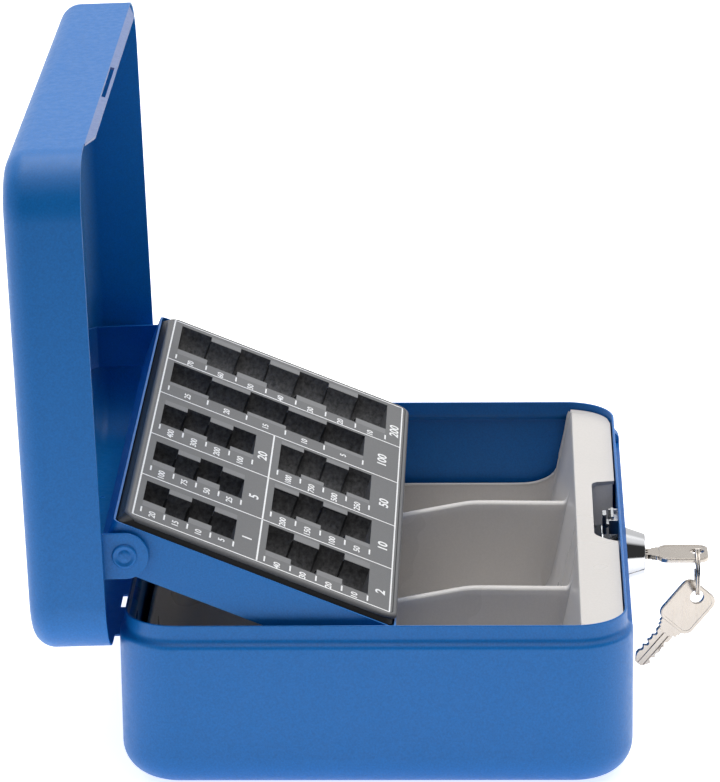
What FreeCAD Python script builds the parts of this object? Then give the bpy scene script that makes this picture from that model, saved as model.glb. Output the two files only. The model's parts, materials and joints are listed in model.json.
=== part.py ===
import FreeCAD, Part
import math
import os

# Cash box: pressed steel base and hinged lid, grey moulded insert, coin tray in a
# steel frame that the lid lifts, cam lock with a sliding latch bolt, keys on a ring.
# Frame: +Z up, front of the box faces -Y, origin at the centre of the underside.
# All lengths in millimetres.  The stored pose is the open one.

V = FreeCAD.Vector

# ---------------------------------------------------------------- driving dimensions
WIDTH = 250.0            # along X
DEPTH = 180.0            # along Y
CORNER_R = 21.0          # plan corner radius of base and lid
SHEET = 0.8              # steel sheet
BASE_BOTTOM_R = 12.0     # rounded bottom edge of the base
STEP_Z0 = 52.6           # where the wall starts to step in
STEP_Z1 = 56.2           # where the step ends and the neck starts
STEP_IN = 2.1            # how far the neck is set in
RIM_Z = 61.0             # top of the neck
LID_EDGE_Z = 54.6        # lid edge when closed
LID_TOP_Z = 81.8         # lid top when closed
LID_TOP_R = 8.0          # rounded top edge of the lid
LID_OPEN = 91.6          # lid angle of the stored pose, degrees

HINGE_Y = 88.0
HINGE_Z = 50.2
HINGE_X = 66.0           # centre of each hinge
HINGE_HALF = 33.0        # half length of the knuckle row
KNUCKLE_R = 2.0
PIN_R = 1.15
HANG_HOLE_X = 46.6       # small hole in the lid's rear wall
HANG_HOLE_Z = 71.0

LIP_HALF = 100.0         # half length of the lid's front lip
LIP_DOWN = 2.8           # lip reach below the lid edge
LIP_IN = 0.8             # lip lean towards the inside
LIP_SLOT = (-36.0, 6.2)   # slot that the latch bolt enters

PIVOT_OPEN_Y = 86.2      # tray pivot, lid open
PIVOT_OPEN_Z = 86.1
TRAY_TILT = 22.5         # tray slope with the lid open, front end down
LUG_X0, LUG_X1 = 119.9, 120.9
LUG_R = 8.4
RIVET_R = 2.47

# tray frame, measured from its pivot: a to the front, h upwards
FR_A0, FR_A1 = -8.2, 97.0
FR_H0, FR_H1 = -6.4, 10.1
FR_X = 118.6
# coin tray, same axes
CT_A0, CT_A1 = -6.9, 95.7
CT_X = 116.2
CT_H0, CT_RIM_H, CT_TOP_H = -5.3, 9.6, 12.3
LABEL_T = 0.3
WELL_FLOOR_H = -0.4

LOCK_Z = 42.0            # lock axis height
PLUG_R = 5.5
BOLT_TRAVEL = 1.4

INSERT_X = 121.4         # half width of the grey insert
INSERT_Y0, INSERT_Y1 = -85.9, 86.4
INSERT_T = 1.5
INSERT_SIDE_Z = 27.4
SHELF_Z = 58.2
SHELF_REAR_Y = -71.5
DIVIDER_X = 46.0
DIVIDER_Z = 47.0

KEY_T = 1.8
BOW_L, BOW_W = 18.5, 15.6
KEY_L = 37.6
RING_R, RING_WIRE = 8.1, 0.9

os.makedirs("parts", exist_ok=True)


# ---------------------------------------------------------------- helpers
def box(x0, x1, y0, y1, z0, z1):
    return Part.makeBox(x1 - x0, y1 - y0, z1 - z0, V(x0, y0, z0))


def cyl(r, h, p, d):
    return Part.makeCylinder(r, h, V(*p), V(*d))


def fuse(shapes):
    s = shapes[0]
    if len(shapes) > 1:
        s = s.multiFuse(shapes[1:])
    return s.removeSplitter()


def wire_of(segs, m):
    """Closed wire from segments: (point) line to, (mid, end) arc to."""
    edges = []
    cur = segs[0]
    for s in segs[1:] + [segs[0]]:
        if isinstance(s[0], tuple):
            edges.append(Part.Arc(m(cur), m(s[0]), m(s[1])).toShape())
            cur = s[1]
        else:
            if (m(s) - m(cur)).Length > 1e-7:
                edges.append(Part.LineSegment(m(cur), m(s)).toShape())
            cur = s
    return Part.Wire(edges)


def ring(segs, w, d, r):
    """A wall profile (offset inwards, height) taken round a rounded rectangle."""
    fx = Part.Face(wire_of(segs, lambda q: V(w / 2 - q[0], -(d / 2 - r), q[1])))
    right = fx.extrude(V(0, d - 2 * r, 0))
    left = right.copy()
    left.rotate(V(0, 0, 0), V(0, 0, 1), 180)
    fy = Part.Face(wire_of(segs, lambda q: V(-(w / 2 - r), d / 2 - q[0], q[1])))
    rear = fy.extrude(V(w - 2 * r, 0, 0))
    front = rear.copy()
    front.rotate(V(0, 0, 0), V(0, 0, 1), 180)
    out = [right, rear, left, front]
    fc = Part.Face(wire_of(segs, lambda q: V(w / 2 - q[0], d / 2 - r, q[1])))
    c1 = fc.revolve(V(w / 2 - r, d / 2 - r, 0), V(0, 0, 1), 90)
    fd = Part.Face(wire_of(segs, lambda q: V(-(w / 2 - r), d / 2 - q[0], q[1])))
    c2 = fd.revolve(V(-(w / 2 - r), d / 2 - r, 0), V(0, 0, 1), 90)
    for c in (c1, c2):
        e = c.copy()
        e.rotate(V(0, 0, 0), V(0, 0, 1), 180)
        out += [c, e]
    return out


def rrect_wire(x0, x1, y0, y1, r, z):
    k = r * (1 - math.sqrt(0.5))
    segs = [(x0 + r, y0), (x1 - r, y0), ((x1 - k, y0 + k), (x1, y0 + r)), (x1, y1 - r),
            ((x1 - k, y1 - k), (x1 - r, y1)), (x0 + r, y1), ((x0 + k, y1 - k), (x0, y1 - r)),
            (x0, y0 + r), ((x0 + k, y0 + k), (x0 + r, y0))]
    return wire_of(segs, lambda q: V(q[0], q[1], z))


def rrect(x0, x1, y0, y1, r, z0, z1):
    return Part.Face(rrect_wire(x0, x1, y0, y1, r, z0)).extrude(V(0, 0, z1 - z0))


def prism_x(pts, x0, x1):
    """Polygon given in (y, z), extruded along X."""
    w = Part.makePolygon([V(x0, y, z) for y, z in pts] + [V(x0, pts[0][0], pts[0][1])])
    return Part.Face(w).extrude(V(x1 - x0, 0, 0))


def prism_y(pts, y0, y1):
    """Polygon given in (x, z), extruded along Y."""
    w = Part.makePolygon([V(x, y0, z) for x, z in pts] + [V(pts[0][0], y0, pts[0][1])])
    return Part.Face(w).extrude(V(0, y1 - y0, 0))


def mirror_x(s):
    return s.mirror(V(0, 0, 0), V(1, 0, 0))


def export(name, shape):
    solids = shape.Solids
    if not shape.isValid():
        print("INVALID", name)
    s = solids[0] if len(solids) == 1 else Part.makeCompound(solids)
    print("%-20s solids %d volume %.1f" % (name, len(solids), sum(q.Volume for q in solids)))
    s.exportStep("parts/%s.step" % name)


def open_lid(s):
    s = s.copy()
    s.rotate(V(0, HINGE_Y, HINGE_Z), V(-1, 0, 0), LID_OPEN)
    return s


def place_tray(s):
    """From pivot axes (x, y = -a, z = h) to the stored pose."""
    s = s.copy()
    s.rotate(V(0, 0, 0), V(-1, 0, 0), -TRAY_TILT)
    s.translate(V(0, PIVOT_OPEN_Y, PIVOT_OPEN_Z))
    return s


# ---------------------------------------------------------------- base shell
def s_curve(shift, z0, z1):
    """Radius and angle of the two equal arcs of a step."""
    half = math.atan2(shift, z1 - z0)
    ang = 2 * half
    return (z1 - z0) / (2 * math.sin(ang)), ang


rs, al = s_curve(STEP_IN, STEP_Z0, STEP_Z1)


def arc_pt(c, r, a):
    return (c[0] + r * math.cos(a), c[1] + r * math.sin(a))


c1 = (rs, STEP_Z0)
c2 = (STEP_IN - rs, STEP_Z1)
t = SHEET
q = math.pi
br = BASE_BOTTOM_R
k45 = math.sqrt(0.5)
base_prof = [
    (br, 0.0),
    ((br - br * k45, br - br * k45), (0.0, br)),
    (0.0, STEP_Z0),
    (arc_pt(c1, rs, q - al / 2), arc_pt(c1, rs, q - al)),
    (arc_pt(c2, rs, -al / 2), (STEP_IN, STEP_Z1)),
    (STEP_IN, RIM_Z - 0.3),
    ((STEP_IN + t / 2, RIM_Z), (STEP_IN + t, RIM_Z - 0.3)),
    (STEP_IN + t, STEP_Z1),
    (arc_pt(c2, rs + t, -al / 2), arc_pt(c2, rs + t, -al)),
    (arc_pt(c1, rs - t, q - al / 2), (t, STEP_Z0)),
    (t, br),
    ((br - (br - t) * k45, br - (br - t) * k45), (br, t)),
]
floor = rrect(-WIDTH / 2 + br, WIDTH / 2 - br, -DEPTH / 2 + br, DEPTH / 2 - br, CORNER_R - br, 0, t)
base = fuse(ring(base_prof, WIDTH, DEPTH, CORNER_R) + [floor])

# groove along the front that takes the lid's lip
gh = LIP_HALF + 1.6
fy = -DEPTH / 2
base = base.cut(box(-gh, gh, fy - 2, fy + STEP_IN, 51.0, STEP_Z1 + 0.1))
chan = [box(-gh - t, gh + t, fy, fy + STEP_IN + t, 50.2, 51.0),
        box(-gh - t, gh + t, fy + STEP_IN, fy + STEP_IN + t, 50.2, STEP_Z1 + 0.5),
        box(-gh - t, -gh, fy + 0.9, fy + STEP_IN + t, 50.2, 54.2),
        box(gh, gh + t, fy + 0.9, fy + STEP_IN + t, 50.2, 54.2)]
base = fuse([base] + chan)
# mouth for the latch bolt
base = base.cut(box(-5.8, 5.8, fy + 1.5, fy + 4, 52.9, 57.0))
# hole for the lock barrel
base = base.cut(cyl(7.6, 6, (0, fy - 2, LOCK_Z), (0, 1, 0)))
# windows for the hinge knuckles
for sx in (-1, 1):
    cx = sx * HINGE_X
    base = base.cut(box(cx - HINGE_HALF - 0.5, cx + HINGE_HALF + 0.5, DEPTH / 2 - 4.4, DEPTH / 2 + 2, 47.5, 56.0))
# rivet holes of the hinge straps
for sx in (-1, 1):
    for dx in (-11, 11):
        base = base.cut(cyl(1.6, 4, (sx * HINGE_X + dx, DEPTH / 2 - 3, 38), (0, 1, 0)))
export("base_shell", base)

# ---------------------------------------------------------------- hinge straps, pins, rivets
straps, pins, rivs = [], [], []
for sx in (-1, 1):
    cx = sx * HINGE_X
    plate = box(cx - 16, cx + 16, DEPTH / 2 - 1.6, DEPTH / 2 - 0.8, 30, 46.9)
    neck = box(cx - 6, cx + 6, DEPTH / 2 - 1.6, DEPTH / 2 - 0.8, 46.5, HINGE_Z)
    knk = cyl(KNUCKLE_R, 12, (cx - 6, HINGE_Y, HINGE_Z), (1, 0, 0))
    s = fuse([plate, neck, knk])
    s = s.cut(cyl(PIN_R + 0.01, 14, (cx - 7, HINGE_Y, HINGE_Z), (1, 0, 0)))
    for dx in (-11, 11):
        s = s.cut(cyl(1.6, 4, (cx + dx, DEPTH / 2 - 3, 38), (0, 1, 0)))
    straps.append(s)
    pins.append(cyl(PIN_R, 2 * HINGE_HALF + 0.6, (cx - HINGE_HALF - 0.3, HINGE_Y, HINGE_Z), (1, 0, 0)))
    for dx in (-11, 11):
        sh = cyl(1.58, 1.6, (cx + dx, DEPTH / 2 - 1.6, 38), (0, 1, 0))
        hd = cyl(2.8, 0.7, (cx + dx, DEPTH / 2 - 2.3, 38), (0, 1, 0))
        ho = cyl(2.8, 0.6, (cx + dx, DEPTH / 2, 38), (0, 1, 0))
        ho = ho.makeFillet(0.45, [e for e in ho.Edges if abs(e.CenterOfMass.y - DEPTH / 2 - 0.6) < 1e-3 and len(e.Vertexes) == 1])
        rivs.append(fuse([sh, hd, ho]))
export("hinge_straps", Part.makeCompound(straps))
export("hinge_pins", Part.makeCompound(pins))
export("hinge_rivets", Part.makeCompound(rivs))

# ---------------------------------------------------------------- lid shell (closed, then opened)
lr = LID_TOP_R
ze, zt = LID_EDGE_Z, LID_TOP_Z
lid_prof = [
    (0.0, ze + 0.2), (0.0, zt - lr),
    ((lr - lr * k45, zt - lr + lr * k45), (lr, zt)),
    (lr, zt - t),
    ((lr - (lr - t) * k45, zt - lr + (lr - t) * k45), (t, zt - lr)),
    (t, ze + 0.2),
    ((t / 2, ze), (0.0, ze + 0.2)),
]
top = rrect(-WIDTH / 2 + lr, WIDTH / 2 - lr, -DEPTH / 2 + lr, DEPTH / 2 - lr, CORNER_R - lr, zt - t, zt)
lid = fuse(ring(lid_prof, WIDTH, DEPTH, CORNER_R) + [top])
# front lip, with rounded ends
dl = math.hypot(LIP_IN, LIP_DOWN)
du = (LIP_IN / dl, -LIP_DOWN / dl)
nu = (LIP_DOWN / dl, LIP_IN / dl)


def lip_pt(s, n):
    return (fy + t / 2 + du[0] * s + nu[0] * n, ze + du[1] * s + nu[1] * n)


lip_poly = [(fy, ze + 0.8), (fy + t, ze + 0.8), (fy + t, ze + 0.1), lip_pt(dl, t / 2), lip_pt(dl, -t / 2), (fy, ze - 0.1)]
lip = prism_x(lip_poly, -LIP_HALF, LIP_HALF)
for sx in (-1, 1):
    corner = Part.makePolygon([V(sx * LIP_HALF, fy - 2, ze - LIP_DOWN - 1), V(sx * LIP_HALF, fy - 2, ze - 0.2),
                               V(sx * (LIP_HALF - 17.0), fy - 2, ze - LIP_DOWN - 1), V(sx * LIP_HALF, fy - 2, ze - LIP_DOWN - 1)])
    lip = lip.cut(Part.Face(corner).extrude(V(0, 8, 0)))
lid = fuse([lid, lip])
sl = [lip_pt(0.35, 1.2), lip_pt(1.85, 1.2), lip_pt(1.85, -1.2), lip_pt(0.35, -1.2)]
lid = lid.cut(prism_x(sl, LIP_SLOT[0], LIP_SLOT[1]))
# knuckles rolled from tabs of the rear wall
tabs = []
for sx in (-1, 1):
    cx = sx * HINGE_X
    for a, b in ((-HINGE_HALF, -6.3), (6.3, HINGE_HALF)):
        tab = box(cx + a, cx + b, DEPTH / 2 - t, DEPTH / 2, HINGE_Z, ze + 0.5)
        knk = cyl(KNUCKLE_R, b - a, (cx + a, HINGE_Y, HINGE_Z), (1, 0, 0))
        tabs += [tab, knk]
lid = fuse([lid] + tabs)
for sx in (-1, 1):
    cx = sx * HINGE_X
    lid = lid.cut(cyl(PIN_R + 0.05, 2 * HINGE_HALF + 2, (cx - HINGE_HALF - 1, HINGE_Y, HINGE_Z), (1, 0, 0)))
    lid = lid.cut(cyl(1.5, 4, (sx * HANG_HOLE_X, DEPTH / 2 - 2, HANG_HOLE_Z), (0, 1, 0)))
    lid = lid.cut(cyl(2.05, 4, (sx * 36.0, 0, zt - 2), (0, 0, 1)))
export("lid_shell", open_lid(lid))

# ---------------------------------------------------------------- lift lugs and pivot rivets
th = math.radians(LID_OPEN)
pf, pu = -(PIVOT_OPEN_Y - HINGE_Y), PIVOT_OPEN_Z - HINGE_Z
pcy = HINGE_Y - (pf * math.cos(th) + pu * math.sin(th))
pcz = HINGE_Z + (-pf * math.sin(th) + pu * math.cos(th))
print("closed tray pivot", round(pcy, 3), round(pcz, 3))
ci = zt - t
lug_prof = [(LUG_X1, pcz - LUG_R), (LUG_X1, 77.0), (116.9, ci), (106.0, ci), (106.0, ci - 1.0),
            (116.5, ci - 1.0), (LUG_X0, 76.6), (LUG_X0, pcz - LUG_R)]
lug = prism_y(lug_prof, pcy - LUG_R, pcy + LUG_R)
keep = cyl(LUG_R, 30, (100, pcy, pcz), (1, 0, 0)).fuse(box(100, 130, pcy - LUG_R, pcy + LUG_R, pcz, zt))
lug = lug.common(keep).cut(cyl(RIVET_R + 0.03, 10, (115, pcy, pcz), (1, 0, 0)))
export("lift_lugs", open_lid(Part.makeCompound([lug, mirror_x(lug)])))

head = cyl(4.4, 0.75, (LUG_X1, pcy, pcz), (1, 0, 0))
head = head.makeFillet(0.4, [e for e in head.Edges if abs(e.CenterOfMass.x - LUG_X1 - 0.75) < 1e-3 and len(e.Vertexes) == 1])
dish = Part.makeTorus(2.3, 0.38, V(LUG_X1 + 0.75, pcy, pcz), V(1, 0, 0))
shank = cyl(RIVET_R, LUG_X1 - (FR_X - t - 0.3), (FR_X - t - 0.3, pcy, pcz), (1, 0, 0))
tail = cyl(3.9, 0.7, (FR_X - t - 1.0, pcy, pcz), (1, 0, 0))
riv = fuse([head.cut(dish), shank, tail])
export("pivot_rivets", open_lid(Part.makeCompound([riv, mirror_x(riv)])))

# ---------------------------------------------------------------- carrying handle on the lid
HB_X = 36.0
br_parts = []
for sx in (-1, 1):
    foot = rrect(sx * HB_X - 5, sx * HB_X + 5, -6.5, 6.5, 3, zt, zt + 1.2)
    ear = prism_x([(-4.2, zt + 0.5), (4.2, zt + 0.5), (2.9, zt + 5.8), (1.4, zt + 7.0), (-1.4, zt + 7.0), (-2.9, zt + 5.8)], sx * HB_X - 2.2, sx * HB_X + 2.2)
    b = fuse([foot, ear]).cut(cyl(1.65, 12, (sx * HB_X - 6, 0, zt + 4.2), (1, 0, 0)))
    st = cyl(2.0, 2.2, (sx * HB_X, 0, zt - 1.8), (0, 0, 1))
    sh = cyl(3.4, 0.9, (sx * HB_X, 0, zt - t - 0.9), (0, 0, 1))
    br_parts.append(fuse([b, st, sh]))
export("handle_brackets", open_lid(Part.makeCompound(br_parts)))

hz = zt + 4.2
GRIP_Y = 21.0
leg_x = HB_X - 4.6
path = Part.Wire([
    Part.LineSegment(V(-leg_x, 0.2, hz), V(-leg_x, GRIP_Y - 6, hz)).toShape(),
    Part.Arc(V(-leg_x, GRIP_Y - 6, hz), V(-leg_x + 6 * (1 - k45), GRIP_Y - 6 + 6 * k45, hz), V(-leg_x + 6, GRIP_Y, hz)).toShape(),
    Part.LineSegment(V(-leg_x + 6, GRIP_Y, hz), V(leg_x - 6, GRIP_Y, hz)).toShape(),
    Part.Arc(V(leg_x - 6, GRIP_Y, hz), V(leg_x - 6 * (1 - k45), GRIP_Y - 6 + 6 * k45, hz), V(leg_x, GRIP_Y - 6, hz)).toShape(),
    Part.LineSegment(V(leg_x, GRIP_Y - 6, hz), V(leg_x, 0.2, hz)).toShape()])
prof = Part.Wire([Part.Circle(V(-leg_x, 0.2, hz), V(0, 1, 0), 1.9).toShape()])
bail = path.makePipeShell([prof], True, False)
ends = []
for sx in (-1, 1):
    ends.append(Part.makeSphere(1.9, V(sx * leg_x, 0.2, hz)))
    x0 = sx * leg_x
    x1 = sx * (HB_X + 2.9)
    ends.append(cyl(1.57, abs(x1 - x0), (min(x0, x1), 0.0, hz), (1, 0, 0)))
bail = fuse([bail] + ends)
export("carry_handle", open_lid(bail))
grip = cyl(2.75, 2 * (leg_x - 9), (-(leg_x - 9), GRIP_Y, hz), (1, 0, 0)).cut(cyl(1.9, 80, (-40, GRIP_Y, hz), (1, 0, 0)))
export("handle_grip", open_lid(grip))

# ---------------------------------------------------------------- tray frame
outer = rrect(-FR_X, FR_X, -FR_A1, -FR_A0, 2.5, FR_H0, FR_H1)
inner = rrect(-FR_X + t, FR_X - t, -FR_A1 + t, -FR_A0 - t, 1.7, FR_H0 + t, FR_H1 + 1)
hole = rrect(-FR_X + 8, FR_X - 8, -FR_A1 + 8, -FR_A0 - 8, 3, FR_H0 - 1, FR_H0 + 2)
frame = outer.cut(inner).cut(hole)
frame = frame.cut(cyl(RIVET_R + 0.08, 260, (-130, 0, 0), (1, 0, 0)))
export("tray_frame", place_tray(frame.removeSplitter()))
wash = cyl(4.6, 1.0, (FR_X, 0, 0), (1, 0, 0)).cut(cyl(RIVET_R + 0.08, 3, (FR_X - 1, 0, 0), (1, 0, 0)))
export("pivot_washers", place_tray(Part.makeCompound([wash, mirror_x(wash)])))

# ---------------------------------------------------------------- coin tray
# rows: first a, last a, number of wells, far-type X range, near-type X range, first well type
ROWS = [
    (0.7, 87.1, 7, (79.3, 108.6), (73.7, 103.6), 1),
    (0.5, 79.0, 5, (38.6, 62.0), (35.0, 57.8), 1),
    (0.3, 36.7, 4, (-6.6, 16.2), (-10.8, 11.2), 0),
    (0.4, 34.9, 4, (-51.5, -31.3), (-56.8, -36.2), 1),
    (0.1, 34.5, 4, (-95.0, -74.8), (-100.4, -79.6), 1),
    (46.7, 82.9, 4, (-7.6, 20.7), (-11.4, 16.6), 0),
    (46.4, 84.4, 4, (-53.0, -27.6), (-57.0, -32.2), 0),
    (46.3, 85.0, 4, (-98.0, -72.0), (-103.0, -77.8), 1),
]


def well(a0, a1, x0, x1, grow):
    """Round-bottomed coin well along X, from its floor up through the top."""
    r = (x1 - x0) / 2 + grow
    xc = (x0 + x1) / 2
    fl = WELL_FLOOR_H - grow
    hc = fl + r
    c = cyl(r, a1 - a0 + 2 * grow, (xc, -a1 - grow, hc), (0, 1, 0))
    c = c.common(box(xc - r, xc + r, -a1 - grow, -a0 + grow, fl, 14.0))
    if hc < 13.9:
        c = c.fuse(box(xc - r, xc + r, -a1 - grow, -a0 + grow, hc, 14.0)).removeSplitter()
    return c


wells, troughs = [], []
for a0, a1, n, far, near, first in ROWS:
    pitch = (a1 - a0) / n
    for i in range(n):
        rng = far if (i % 2 == 0) == (first == 1) else near
        lo, hi = a0 + i * pitch, a0 + (i + 1) * pitch
        wells.append(well(lo - 0.02, hi + 0.02, rng[0], rng[1], 0.0))
        troughs.append(well(lo, hi, rng[0], rng[1], 1.3))
all_wells = wells[0].multiFuse(wells[1:])
lower = rrect(-CT_X, CT_X, -CT_A1, -CT_A0, 2.5, CT_H0, CT_RIM_H)
upper = Part.makeLoft([rrect_wire(-CT_X, CT_X, -CT_A1, -CT_A0, 2.5, CT_RIM_H),
                       rrect_wire(-114.6, 114.6, -95.0, 4.6, 4.5, CT_TOP_H)], True, True)
block = fuse([lower, upper])
void = rrect(-CT_X + 1.5, CT_X - 1.5, -CT_A1 + 1.5, -CT_A0 - 1.5, 1.5, CT_H0 - 1, CT_TOP_H - 2.0)
bev = box(-130, 130, -130, 130, CT_RIM_H - 1.3, CT_TOP_H)
inset = rrect(-111.8, 111.8, -92.4, 2.0, 3, CT_RIM_H - 1.4, CT_TOP_H)
void = void.cut(bev.cut(inset))
void = void.cut(troughs[0].multiFuse(troughs[1:]))
coin = block.cut(void).cut(all_wells).removeSplitter()
export("coin_tray", place_tray(coin))
label = rrect(-113.9, 113.9, -94.4, 4.0, 4.0, CT_TOP_H, CT_TOP_H + LABEL_T).cut(all_wells)
export("value_label", place_tray(label))

# ---------------------------------------------------------------- grey insert
zf = 2.0
xi = INSERT_X
env = rrect(-xi, xi, INSERT_Y0, INSERT_Y1, 17.6, 0, 80)
it = INSERT_T


def rounded_floor_block(x0, x1, y0, y1, r, z0, z1, rb):
    s = rrect(x0, x1, y0, y1, r, z0, z1)
    ed = [e for e in s.Edges if abs(e.BoundBox.ZMax - z0) < 1e-6]
    return s.makeFillet(rb, ed)


# side walls sweep up in one curve to the shelf at the front
sweep = Part.BSplineCurve()
sweep.interpolate([V(-xi, y, z) for y, z in ((-55.0, INSERT_SIDE_Z), (-60.9, 29.0), (-64.3, 31.5), (-66.7, 34.8),
                                             (-68.4, 39.2), (-69.7, 45.0), (-70.6, 51.5), (-71.2, SHELF_Z))])
flat = [(-71.2, SHELF_Z), (INSERT_Y0, SHELF_Z), (INSERT_Y0, zf), (INSERT_Y1, zf), (INSERT_Y1, INSERT_SIDE_Z), (-55.0, INSERT_SIDE_Z)]
edges = [Part.LineSegment(V(-xi, *flat[i]), V(-xi, *flat[i + 1])).toShape() for i in range(len(flat) - 1)]
body = Part.Face(Part.Wire(edges + [sweep.toShape()])).extrude(V(2 * xi, 0, 0)).common(env)
# lower outline of the body follows the rounded bottom of the steel base
keepout = rounded_floor_block(-124.0, 124.0, -89.0, 89.0, 20.0, 1.0, 90.0, 11.0)
body = body.common(keepout)
# one wide rear compartment and three front ones
cav_top = 70.0
rear_c = rounded_floor_block(-xi + it, xi - it, -14.0, INSERT_Y1 - it, 15.0, zf + it, cav_top, 9.0)
cav = [rear_c]
y0c, y1c = SHELF_REAR_Y + 0.0, 20.0
fx0 = xi - it
for x0, x1 in ((-fx0, -DIVIDER_X - 2.6), (-DIVIDER_X + 2.6, DIVIDER_X - 2.6), (DIVIDER_X + 2.6, fx0)):
    cav.append(rounded_floor_block(x0, x1, y0c, y1c, 12.0, zf + it, cav_top, 8.0))
body = body.cut(cav[0].multiFuse(cav[1:]))
# dividers: level by the front wall, falling towards the rear
div_poly = [(-70.0, zf + 0.5), (-70.0, DIVIDER_Z), (-32.0, DIVIDER_Z), (-7.0, 42.0), (2.0, 39.6), (16.0, 31.0), (26.0, 18.0), (30.0, zf + 0.5)]
divs = []
for sx in (-1, 1):
    d = prism_x(div_poly, sx * DIVIDER_X - 2.6, sx * DIVIDER_X + 2.6)
    ed = [e for e in d.Edges if abs(e.CenterOfMass.x - sx * DIVIDER_X) > 2.5 and e.CenterOfMass.z > 10]
    try:
        d2 = d.makeFillet(1.8, ed)
        if d2.isValid():
            d = d2
    except Exception:
        pass
    divs.append(d)
# sloping face of the front wall
slope = [(-73.2, zf + 0.5), (-73.2, SHELF_Z - 0.8), (-71.6, SHELF_Z - 0.8), (-68.6, 46.0), (-62.0, 20.5), (-59.8, 14.0), (-56.6, 8.8), (-52.0, 5.2), (-46.5, zf + 0.5)]
sloped = prism_x(slope, -xi + 0.6, xi - 0.6).common(env).common(keepout)
body = fuse([body, sloped] + divs)
# hollow under the shelf for the lock, and its notch
under = prism_x([(INSERT_Y0 - 5, zf + it), (INSERT_Y0 - 5, SHELF_Z - it), (-73.0, SHELF_Z - it), (-70.2, 46.0), (-63.6, 20.5), (-61.4, 13.6),
                 (-58.4, 8.4), (-56.0, zf + it)], -xi - 5, xi + 5)
body = body.cut(under)
notch = Part.makePolygon([V(x, y, SHELF_Z - 8) for x, y in ((30.0, -77.6), (31.0, -90.0), (-36.5, -90.0), (-26.0, -79.6), (-23.5, -77.6), (30.0, -77.6))])
body = body.cut(Part.Face(notch).extrude(V(0, 0, 12)))
solids = sorted(body.Solids, key=lambda s: -s.Volume)
export("compartment_insert", solids[0])

# ---------------------------------------------------------------- lock
bez = Part.makeCone(10.0, 7.5, 7.2, V(0, fy, LOCK_Z), V(0, -1, 0))
bez = bez.makeFillet(0.6, [e for e in bez.Edges if len(e.Vertexes) == 1 and e.CenterOfMass.y < fy - 7])
bez = bez.cut(cyl(PLUG_R + 0.1, 20, (0, fy - 10, LOCK_Z), (0, 1, 0)))
export("lock_bezel", bez)
hous = cyl(7.5, 6.0, (0, fy, LOCK_Z), (0, 1, 0)).cut(cyl(PLUG_R + 0.1, 20, (0, fy - 10, LOCK_Z), (0, 1, 0)))
# clip groove
hous = hous.cut(cyl(9, 1.0, (0, fy + 0.9, LOCK_Z), (0, 1, 0)).cut(cyl(6.7, 1.0, (0, fy + 0.9, LOCK_Z), (0, 1, 0))))
export("lock_housing", hous)
clip = cyl(10.8, 0.8, (0, fy + 1.0, LOCK_Z), (0, 1, 0)).cut(cyl(6.75, 3, (0, fy, LOCK_Z), (0, 1, 0)))
clip = clip.cut(box(-6.75, 6.75, fy, fy + 4, LOCK_Z, LOCK_Z + 14)).cut(box(-14, 14, fy, fy + 4, LOCK_Z + 6.5, LOCK_Z + 14))
export("lock_clip", clip)

plug = cyl(PLUG_R, 19.0, (0, fy - 7.0, LOCK_Z), (0, 1, 0))
plug = plug.cut(box(-3.5, 3.5, fy - 8, fy + 8.6, LOCK_Z - 1.15, LOCK_Z + 1.15))
waf = []
for yy in (fy - 4.2, fy - 1.6, fy + 1.0, fy + 3.6):
    plug = plug.cut(box(-7, 7, yy - 0.45, yy + 0.45, LOCK_Z - 2.35, LOCK_Z + 2.35))
    w = box(-5.0, 5.0, yy - 0.4, yy + 0.4, LOCK_Z - 2.3, LOCK_Z + 2.3)
    waf.append(w.cut(box(-3.55, 3.55, yy - 1, yy + 1, LOCK_Z - 1.15, LOCK_Z + 1.15)))
plug = plug.cut(cyl(1.3, 4, (0, fy + 9.0, LOCK_Z), (0, 1, 0)))
psol = sorted(plug.Solids, key=lambda s: -s.Volume)
print("plug solids", len(psol))
export("lock_plug", psol[0])
export("lock_wafers", Part.makeCompound(waf))

# face cam: a disc with a ramp that pushes the bolt's tail forward as the plug turns
tail_rear = 8.7
disc = cyl(7.4, 1.4, (0, fy + 12.0, LOCK_Z), (0, 1, 0))
secs = [disc]
for i in range(9):
    a_lo = -19.4 + 10 * i
    o_c = 8.95 - BOLT_TRAVEL * (70.6 - (a_lo + 10)) / 90.0
    ro = cyl(10.9, 13.4 - o_c, (0, fy + o_c, LOCK_Z), (0, 1, 0)).cut(cyl(7.0, 13.4 - o_c, (0, fy + o_c, LOCK_Z), (0, 1, 0)))
    a, b = math.radians(a_lo), math.radians(a_lo + 10.02)
    wp = Part.makePolygon([V(0, fy, LOCK_Z), V(30 * math.cos(a), fy, LOCK_Z + 30 * math.sin(a)),
                           V(30 * math.cos(b), fy, LOCK_Z + 30 * math.sin(b)), V(0, fy, LOCK_Z)])
    secs.append(ro.common(Part.Face(wp).extrude(V(0, 20, 0))))
cam = fuse(secs).cut(cyl(1.6, 8, (0, fy + 9, LOCK_Z), (0, 1, 0)))
export("lock_cam", cam)
scr = fuse([cyl(3.2, 1.6, (0, fy + 13.4, LOCK_Z), (0, 1, 0)), cyl(1.28, 3.9, (0, fy + 9.5, LOCK_Z), (0, 1, 0))])
scr = scr.cut(box(-4, 4, fy + 14.3, fy + 16, LOCK_Z - 0.4, LOCK_Z + 0.4))
export("cam_screw", scr)

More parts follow.
